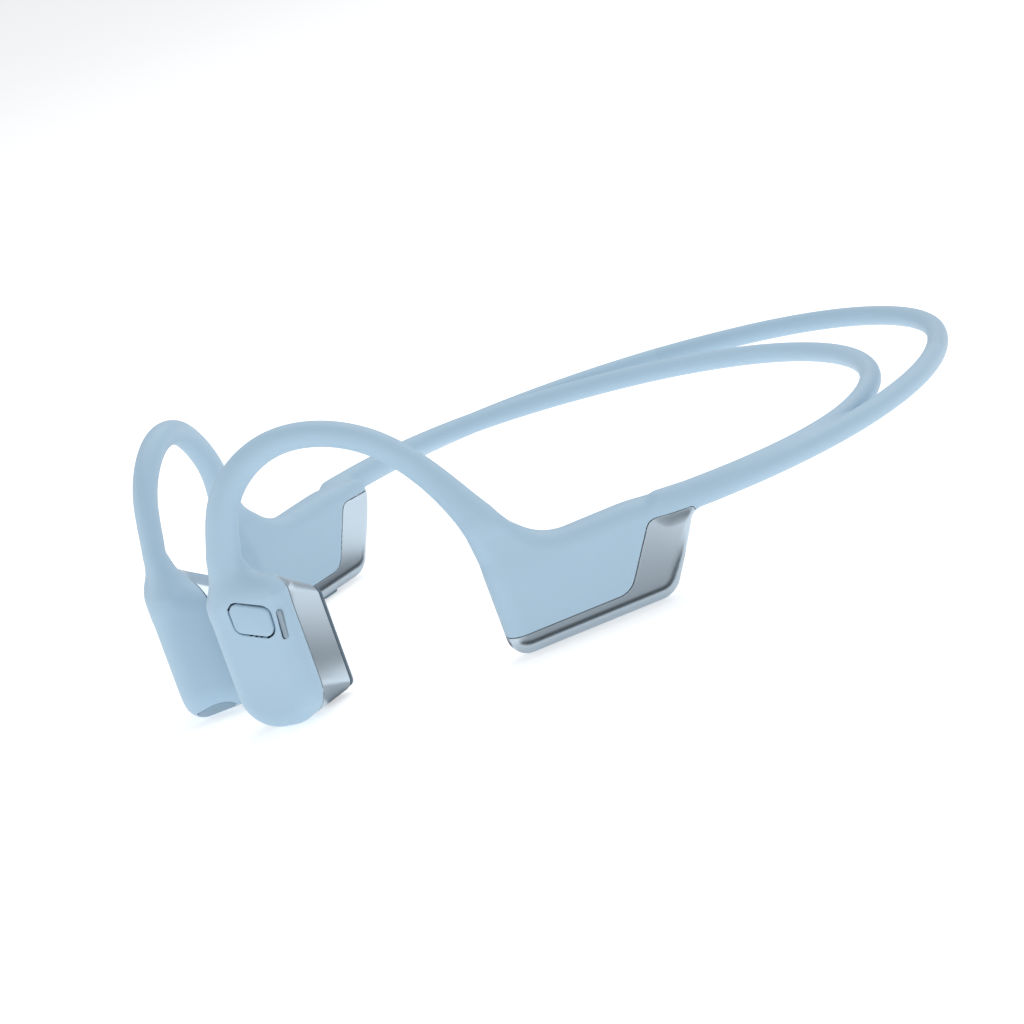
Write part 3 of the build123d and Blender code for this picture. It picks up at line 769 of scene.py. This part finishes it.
def pod_ring(depth, inset):
    """Points round the pod's section at a depth."""
    share = max(0.0, (depth - SHOULDER_DEPTH) / (TAPER_END - SHOULDER_DEPTH))
    left, right = mix(POD_LEFT, PAD_LEFT, share), mix(POD_RIGHT, PAD_RIGHT, share)
    low, high = mix(POD_LOW, PAD_LOW, share), mix(POD_HIGH, PAD_HIGH, share)
    radii = [max(mix(a, b, share), 0.6) for a, b in zip(POD_RADII, PAD_RADII)]
    corners = [(left, low), (right, low), (right, high), (left, high)]
    line = ordered(inset_line(ordered(rounded_outline(corners, radii, 0.1)), inset))
    return np.column_stack([line, np.full(len(line), -depth)])


def contact_face():
    """The pad that rests on the cheekbone: a rolled edge and a slightly crowned face."""
    rings = [pod_ring(PAD_TOP, 0.6), pod_ring(PAD_TOP, 0.1), pod_ring(PAD_FACE - PAD_ROLL, PAD_INSET)]
    for k in range(1, 7):
        angle = radians(90 * k / 6)
        rings.append(pod_ring(PAD_FACE - PAD_ROLL + PAD_ROLL * sin(angle), PAD_INSET + PAD_ROLL * (1 - cos(angle))))
    edge = rings[-1]
    centre = edge.mean(0)
    for share in (0.9, 0.8, 0.7, 0.6, 0.5, 0.4, 0.3, 0.2, 0.1):
        ring = centre + (edge - centre) * share
        ring[:, 2] = -PAD_FACE - PAD_CROWN * (1 - share ** 2)
        rings.append(ring)
    points, faces, normals = dome([POD.world(ring) for ring in rings])
    return points, [face[::-1] for face in faces], normals


def gasket_ring():
    rings = [pod_ring(HOUSING_END, 1.0), pod_ring(HOUSING_END, 0.2), pod_ring(HOUSING_END + 0.1, 0.15),
             pod_ring(PAD_TOP - 0.1, 0.15), pod_ring(PAD_TOP, 0.2), pod_ring(PAD_TOP, 1.0)]
    points = np.concatenate([POD.world(ring) for ring in rings])
    return points, [face[::-1] for face in grid_faces(len(rings), len(rings[0]))], None


def vent_cover():
    """Oval plug, sunk a little into the pod's own surface."""
    turn = turns(72)
    rows = [(1.0, -0.9), (1.0, -0.12), (0.985, -0.06), (0.95, -0.04)]
    rows += [(share, -0.04) for share in (0.88, 0.8, 0.7, 0.6, 0.5, 0.4, 0.3, 0.2, 0.1)]
    rings = []
    for share, sink in rows:
        ring = np.column_stack([np.cos(turn) * (VENT_SIZE[0] / 2 - 0.1) * share,
                                np.sin(turn) * (VENT_SIZE[1] / 2 - 0.1) * share, np.full(len(turn), 0.5)])
        for _ in range(12):
            ring[:, 2] -= np.clip(pod_form(VENT.world(ring)), -0.8, 0.8)
        ring[:, 2] += sink
        rings.append(VENT.world(ring))
    return dome(rings)


def slot_mesh():
    """Fine mesh at the bottom of the microphone slot."""
    lean = radians(90 + SLOT_LEAN)
    turn = turns(48)
    half, radius = (SLOT_SIZE[1] - SLOT_SIZE[0]) / 2, SLOT_SIZE[0] / 2 + 0.1
    rings = []
    for share, depth in ((1.0, -0.9), (0.9, -0.62), (0.6, -0.58), (0.3, -0.58)):
        x = np.sign(np.cos(turn)) * half + np.cos(turn) * radius * share
        y = np.sin(turn) * radius * share
        rings.append(POD.world(np.column_stack([SLOT_AT[0] + x * cos(lean) - y * sin(lean),
                                                SLOT_AT[1] + x * sin(lean) + y * cos(lean),
                                                np.full(len(turn), depth)])))
    return dome(rings)


def hook_skin():
    """Rings round the hook's line, drawn on to the pod's form at one end and the case's at the other."""
    count, columns = 170, 56
    turn = turns(columns)
    t = np.interp(np.linspace(0, HOOK.length, count), HOOK.lengths, HOOK.steps)
    middle, across, through, width, depth = HOOK.section(t)
    way = (across[:, None] * np.cos(turn)[None, :, None] * width[:, None, None]
           + through[:, None] * np.sin(turn)[None, :, None] * depth[:, None, None])
    points = (middle[:, None] + way).reshape(-1, 3)
    way = unit(way.reshape(-1, 3))
    ring = np.repeat(np.arange(count), columns)
    normals = np.zeros_like(points)
    for form, chosen in ((pod_form, ring < 25), (hook_form, (ring >= 25) & (ring < 135)),
                         (case_form, ring >= 135)):
        part, outward = points[chosen], way[chosen]
        for _ in range(5):
            slope = (gradient(form, part) * outward).sum(1)
            part = part - (form(part) / np.maximum(slope, 0.3))[:, None] * outward
        points[chosen] = part
        normals[chosen] = unit(gradient(form, part))
    return points, grid_faces(count, columns), normals


def strand_tube(name, start, end, radii, columns=40, step=0.45):
    """Round tube along a strand between two lengths; a negative length is on the other half."""
    strand = STRANDS[name]
    count = max(4, int(abs(end - start) / step))
    turn = turns(columns)
    points, normals = [], []
    for k in range(count + 1):
        length = mix(start, end, k / count)
        middle, along = strand.at(abs(length))
        if length < 0:
            middle, along = middle * np.array([-1, 1, 1]), along * np.array([1, -1, -1])
        side = unit(np.cross((0, 0, 1), along))
        up = np.cross(along, side)
        ring = side * np.cos(turn)[:, None] + up * np.sin(turn)[:, None]
        points.append(middle + ring * mix(radii[0], radii[1], k / count))
        normals.append(ring)
    return np.concatenate(points), grid_faces(count + 1, columns), np.concatenate(normals)


def key_cap(centre):
    """Capsule-shaped volume key with a rolled edge."""
    turn = turns(64)
    half, radius = (KEY_LENGTH - KEY_WIDTH) / 2, KEY_WIDTH / 2
    low = CASE_LOW - KEY_PROUD
    rows = [(radius, low + 1.6)]
    rows += [(radius - KEY_ROLL * (1 - cos(radians(a))), low + KEY_ROLL - KEY_ROLL * sin(radians(a)))
             for a in (0, 22, 45, 67, 90)]
    rows += [(share * radius, low) for share in (0.5, 0.36, 0.2)]
    rings = []
    for size, y in rows:
        x = np.sign(np.cos(turn)) * half * min(1.0, size / radius + 0.35) + np.cos(turn) * size
        rings.append(CASE.world(np.column_stack([centre + x, np.full(len(turn), y), np.sin(turn) * size])))
    return dome(rings)


# ---- materials

def surface_material(name, colour, roughness, metallic=0.0, shade=0.06, patch=45.0, grain=5200.0,
                     bump=0.25, depth=0.00002, sheen=0.0, coat=0.0, spread=0.08):
    """A material with soft colour variation, uneven gloss and a fine surface grain."""
    material = bpy.data.materials.new(name)
    material.use_nodes = True
    tree = material.node_tree
    shader = tree.nodes["Principled BSDF"]
    shader.inputs["Metallic"].default_value = metallic
    shader.inputs["Sheen Weight"].default_value = sheen
    shader.inputs["Sheen Roughness"].default_value = 0.5
    shader.inputs["Coat Weight"].default_value = coat
    shader.inputs["Coat Roughness"].default_value = 0.3
    where = tree.nodes.new("ShaderNodeTexCoord")

    def noise(scale, detail):
        node = tree.nodes.new("ShaderNodeTexNoise")
        node.inputs["Scale"].default_value = scale
        node.inputs["Detail"].default_value = detail
        tree.links.new(where.outputs["Object"], node.inputs["Vector"])
        return node.outputs["Fac"]

    tint = tree.nodes.new("ShaderNodeMix")
    tint.data_type = "RGBA"
    tint.inputs["A"].default_value = (*[c * (1 - shade) for c in colour], 1)
    tint.inputs["B"].default_value = (*[min(1, c * (1 + shade)) for c in colour], 1)
    tree.links.new(noise(patch, 4.0), tint.inputs["Factor"])
    tree.links.new(tint.outputs["Result"], shader.inputs["Base Color"])
    gloss = tree.nodes.new("ShaderNodeMapRange")
    gloss.inputs["To Min"].default_value = roughness - spread
    gloss.inputs["To Max"].default_value = roughness + spread
    tree.links.new(noise(patch * 9, 5.0), gloss.inputs["Value"])
    tree.links.new(gloss.outputs["Result"], shader.inputs["Roughness"])
    rough = tree.nodes.new("ShaderNodeBump")
    rough.inputs["Strength"].default_value = bump
    rough.inputs["Distance"].default_value = depth
    tree.links.new(noise(grain, 3.0), rough.inputs["Height"])
    tree.links.new(rough.outputs["Normal"], shader.inputs["Normal"])
    return material


def woven_material(name, colour, roughness):
    """Fine metal mesh: two crossing sets of wires."""
    material = surface_material(name, colour, roughness, metallic=0.8, shade=0.2)
    tree = material.node_tree
    where = [n for n in tree.nodes if n.type == "TEX_COORD"][0]
    height = [n for n in tree.nodes if n.type == "BUMP"][0]
    waves = []
    for axis in ("X", "Z"):
        wave = tree.nodes.new("ShaderNodeTexWave")
        wave.bands_direction = axis
        wave.inputs["Scale"].default_value = 1400.0
        tree.links.new(where.outputs["Object"], wave.inputs["Vector"])
        waves.append(wave.outputs["Fac"])
    both = tree.nodes.new("ShaderNodeMath")
    both.operation = "MAXIMUM"
    tree.links.new(waves[0], both.inputs[0])
    tree.links.new(waves[1], both.inputs[1])
    tree.links.new(both.outputs[0], height.inputs["Height"])
    return material


MATERIALS = {
    "shell_skin": surface_material("soft_shell", (0.40, 0.56, 0.69), 0.52, shade=0.03, sheen=0.08),
    # the outer loop's silicone is the shell's made a little darker: painted shade for the loop that runs below the
    # inner one
    "silicone_outer_loop": surface_material("outer_silicone_painted_shade", (0.38, 0.535, 0.66), 0.52, shade=0.03, sheen=0.08),
    "metal_housing": surface_material("satin_metal", (0.545, 0.64, 0.715), 0.31, metallic=1.0, shade=0.015,
                                      patch=60.0, grain=9000.0, bump=0.03, depth=0.000002, spread=0.012),
    "gasket": surface_material("gasket_rubber", (0.05, 0.075, 0.1), 0.6),
    "contact_pad": surface_material("pad_silicone", (0.12, 0.175, 0.225), 0.55),
    "vent_insert": surface_material("vent_plastic", (0.25, 0.365, 0.455), 0.45),
    "mic_mesh": woven_material("mesh_wire", (0.28, 0.35, 0.41), 0.4),
    "mic_capsule": surface_material("capsule_can", (0.6, 0.6, 0.62), 0.35, metallic=1.0),
    "circuit_board": surface_material("solder_resist", (0.03, 0.16, 0.1), 0.35, coat=0.3),
    "switch": surface_material("switch_plastic", (0.05, 0.05, 0.055), 0.45),
    "soft_iron": surface_material("zinc_steel", (0.55, 0.55, 0.56), 0.4, metallic=1.0),
    "magnet": surface_material("nickel", (0.62, 0.61, 0.6), 0.25, metallic=1.0),
    "coil": surface_material("copper_wire", (0.72, 0.33, 0.16), 0.35, metallic=1.0),
    "spring_steel": surface_material("spring_strip", (0.6, 0.6, 0.6), 0.3, metallic=1.0),
    "titanium_wire": surface_material("titanium", (0.5, 0.48, 0.46), 0.4, metallic=1.0),
    "battery": surface_material("foil_pouch", (0.6, 0.61, 0.62), 0.35, metallic=0.9, grain=2500.0, bump=0.5),
    "port_metal": surface_material("port_steel", (0.4, 0.41, 0.43), 0.3, metallic=1.0),
    "volume_key": surface_material("key_plastic", (0.17, 0.26, 0.33), 0.45),
}
MATERIALS["silicone_sleeve"] = MATERIALS["shell_skin"]
MATERIALS["button_cap"] = surface_material("button_skin", (0.385, 0.545, 0.675), 0.46, shade=0.03, sheen=0.08)

for part in frame["record"]["subparts"]:
    node = frame["nodes"].get(part["node"])
    if node is not None:
        node.data.materials.clear()
        node.data.materials.append(MATERIALS[part["material_slot"]])


# ---- the pods

pod = Skin(pod_form, *skin(pod_form, POD, (-8.4, -17.0, -12.4), (6.4, 11.6, 1.0), 0.25))
pod.keep(hook_start_side, lip=0.3)
shell = pod.copy().keep(seam_side, GAP, ROLL, 0.9)
shell.keep(button_side, 0.0, 0.15, 1.0).keep(slot_side, 0.0, 0.1, 0.8).keep(vent_side, 0.0, 0.1, 0.8)
both_sides("pod_outer_shell", shell.finished(), "shell_skin")
housing = pod.copy().keep(seam_side, GAP, ROLL, 0.9, sign=-1)
housing.keep(gasket_side, 0.0, 0.18, 0.8).keep(vent_side, 0.0, 0.1, 0.8)
both_sides("pod_housing", housing.finished(), "metal_housing")
both_sides("pod_gasket", gasket_ring(), "gasket")
both_sides("contact_pad", contact_face(), "contact_pad")
both_sides("button_cap", raised_button(), "button_cap", body="{}_button")
both_sides("vent_insert", vent_cover(), "vent_insert")
both_sides("mic_mesh", slot_mesh(), "mic_mesh")
both_sides("ear_hook_sleeve", hook_skin(), "silicone_sleeve")

# ---- the cases

case = Skin(case_form, *skin(case_form, CASE, (-13.0, -0.6, -3.4), (22.6, 21.6, 3.4), 0.25))
case.keep(hook_end_side, lip=0.3).keep(case_rear_side, lip=0.3)
matte = case.copy().keep(trim_side, GAP, ROLL, 0.8)
both_sides("case_outer_shell", matte.copy().keep(cover_side, lip=0.3).finished(), "shell_skin")
both_sides("case_inner_cover", matte.copy().keep(cover_side, lip=0.3, sign=-1).finished(), "shell_skin")
trim = case.copy().keep(trim_side, GAP, ROLL, 0.8, sign=-1)
add_piece("skin_left_case_trim_shell", *trim.finished(), "left_side", "metal_housing",
          ["left_case_trim_shell"])
opened = trim.copy().keep(key_side(PORT_AT, *PORT_SIZE), 0.0, 0.12, 0.8)
for centre in KEY_CENTRES:
    opened.keep(key_side(centre, KEY_LENGTH + 2 * KEY_GAP, KEY_WIDTH + 2 * KEY_GAP), 0.0, 0.12, 0.8)
add_piece("skin_right_case_trim_shell", *opened.finished(), "right_side", "metal_housing",
          ["right_case_trim_shell"], side="right")
for name, centre in (("volume_down", KEY_CENTRES[0]), ("volume_up", KEY_CENTRES[1])):
    add_piece(f"skin_{name}_key", *key_cap(centre), name, "volume_key",
              [f"{name}_key"], side="right")

# ---- the neckband

arm = Skin(case_form, *skin(case_form, WORLD, (30.0, -12.0, 8.0), (53.0, 57.0, 16.5), 0.3))
arm.keep(case_rear_side, lip=0.3, sign=-1).keep(arm_end_side, lip=0.3)
both_sides("band_arm", arm.finished(), "silicone_sleeve")
for name, slot in (("inner", "silicone_sleeve"), ("outer", "silicone_outer_loop")):
    strand = STRANDS[name]
    bend_from, bend_to = strand.arcs[1][5], strand.arcs[2][5]
    wire_end = strand.length - radians(WIRE_SHORT) * strand.arcs[-1][2]
    rear = strand_tube(name, 0.0, bend_from, (REAR_RADIUS, FLEX_RADIUS))
    flex = strand_tube(name, bend_from, bend_to, (FLEX_RADIUS, ARM_RADIUS))
    wire = strand_tube(name, 0.0, wire_end, (WIRE_RADIUS, WIRE_RADIUS), columns=12)
    for side in SIDES:
        flip = np.array([1 if side == "left" else -1, 1, 1]) / 1000.0
        start, end = strand.at(REST_LENGTH)[0] * flip, strand.at(bend_to)[0] * flip
        for label, part, own, nodes in (
                ("rear", rear, slot, [f"{name}_band_rear_sleeve"]),
                ("flex", flex, slot, [f"{side}_{name}_band_flex"]),
                ("wire", wire, "titanium_wire", [f"{name}_band_wire"])):
            piece = add_piece(f"skin_{side}_{name}_band_{label}", *part, None, own, nodes, side)
            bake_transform(piece)


# ---- camera, floor and light

CAMERA_AZIMUTH, CAMERA_ELEVATION, CAMERA_ROLL = radians(60.83), radians(13.05), radians(-19.21)
CAMERA_LENS, CAMERA_DISTANCE = 148.7, 600.2
CAMERA_SHIFT, AIM_RIGHT, AIM_UP = (0.0, -26.2, -4.8), 15.1, 1.6
FLOOR_HALF, CARD_LIFT = 6.0, 0.00015        # metres

def aimed(obj, eye, target, roll=0.0):
    eye, target = np.array(eye, float) / 1000, np.array(target, float) / 1000
    back = unit(eye - target)
    right = unit(np.cross((0, 0, 1), back))
    up = np.cross(back, right)
    x = right * cos(roll) + up * sin(roll)
    y = np.cross(back, x)
    place = np.eye(4)
    place[:3, 0], place[:3, 1], place[:3, 2], place[:3, 3] = x, y, back, eye
    obj.matrix_world = Matrix(place.tolist())


def add_camera():
    """Looks at the headphones from the wearer's front left, with the picture rolled."""
    camera = linked("camera", bpy.data.cameras.new("camera"))
    camera.data.lens, camera.data.sensor_width = CAMERA_LENS, 36.0
    camera.data.clip_start, camera.data.clip_end = 0.01, 20.0
    low, high = CAD_BOX
    middle = [(low[i] + high[i]) * 500 for i in range(3)]
    azimuth, elevation, roll = CAMERA_AZIMUTH, CAMERA_ELEVATION, CAMERA_ROLL
    back = np.array([sin(azimuth) * cos(elevation), -cos(azimuth) * cos(elevation), sin(elevation)])
    right = np.array([cos(azimuth), sin(azimuth), 0.0])
    up = np.cross(back, right)
    eye = np.array(middle) + np.array(CAMERA_SHIFT) + back * CAMERA_DISTANCE
    across, above = right * cos(roll) + up * sin(roll), up * cos(roll) - right * sin(roll)
    aimed(camera, eye, eye - back * CAMERA_DISTANCE + across * AIM_RIGHT + above * AIM_UP, roll)
    bpy.context.scene.camera = camera


def add_panel(name, eye, target, size, power):
    """Soft rectangular light."""
    data = bpy.data.lights.new(name, "AREA")
    data.shape, data.size, data.size_y = "RECTANGLE", size[0], size[1]
    data.energy = power
    aimed(linked(name, data), eye, target)


def glowing(material, strength):
    shader = material.node_tree.nodes["Principled BSDF"]
    shader.inputs["Emission Color"].default_value = (1, 1, 1, 1)
    shader.inputs["Emission Strength"].default_value = strength
    return material


def flat(name, corners, height, material):
    """One level face, in metres."""
    mesh = bpy.data.meshes.new(name)
    mesh.from_pydata([(x, y, height) for x, y in corners], [], [tuple(range(len(corners)))])
    mesh.materials.append(material)
    return linked(name, mesh)


def add_floor():
    """Large plain floor under the headphones."""
    half = FLOOR_HALF
    paper = surface_material("floor_paper", (0.78, 0.78, 0.78), 0.9, shade=0.01, patch=3.0, bump=0.02)
    floor = flat("floor", [(-half, -half), (half, -half), (half, half), (-half, half)], 0, glowing(paper, 0.5))


def add_card(name, corners, tone, glow=0.0):
    """Flat card on the floor that only reflections see: its tone and glow paint reflected bands into the metal."""
    painted_reflection = surface_material(name + "_felt", (tone, tone, tone), 0.95, shade=0.02, bump=0.02)
    card = flat(name, [(x / 1000, y / 1000) for x, y in corners], CARD_LIFT, glowing(painted_reflection, glow))
    card.visible_camera = card.visible_diffuse = card.visible_shadow = card.visible_transmission = False


# cards beside each case that only reflections see, painted reflected bands in the metal: name, nearer and farther
# edge from the case's middle plane, tone, glow
CASE_CARDS = (("outer_strip", 4.0, 8.5, 0.05, 0.0), ("outer_field", 8.5, 60.0, 0.55, 0.0),
              ("inner_strip", -8.5, -4.0, 0.05, 0.0), ("inner_field", -30.0, -8.5, 0.25, 0.0),
              ("under_strip", -3.3, 3.3, 0.8, 0.3))


def add_case_cards():
    """Painted reflections: dark strips on both sides of each case, and a light glowing one under it."""
    for name, near, far, tone, glow in CASE_CARDS:
        for side, flip in (("left", 1), ("right", -1)):
            corners = [CASE.world(np.array([x, 0, z])) for x, z in ((-14, near), (25, near), (25, far), (-14, far))]
            add_card(f"{side}_{name}", [(corner[0] * flip, corner[1]) for corner in corners], tone, glow)


def add_world():
    world = bpy.data.worlds.new("studio")
    world.use_nodes = True
    back = world.node_tree.nodes["Background"]
    back.inputs["Color"].default_value = (0.93, 0.96, 1.0, 1)
    back.inputs["Strength"].default_value = 0.47
    bpy.context.scene.world = world


bpy.context.scene.view_settings.view_transform = "Standard"
add_camera()
add_floor()
add_world()
add_panel("top_light", (-60, 300, 560), (0, -10, 15), (0.8, 0.8), 2.6)
add_panel("front_light", (-420, -520, 240), (10, -20, 15), (0.5, 0.4), 0.9)
add_panel("camera_light", (560, -420, 250), (30, -10, 10), (0.4, 0.3), 0.9)
add_case_cards()
# grey cards that only reflections see: painted reflected bands on the pods' metal
add_card("pod_high_card", [(5, -12), (26, -12), (26, 0), (5, 0)], 0.5)
add_card("pod_low_card", [(8, -54), (30, -54), (30, -47), (8, -47)], 0.7)
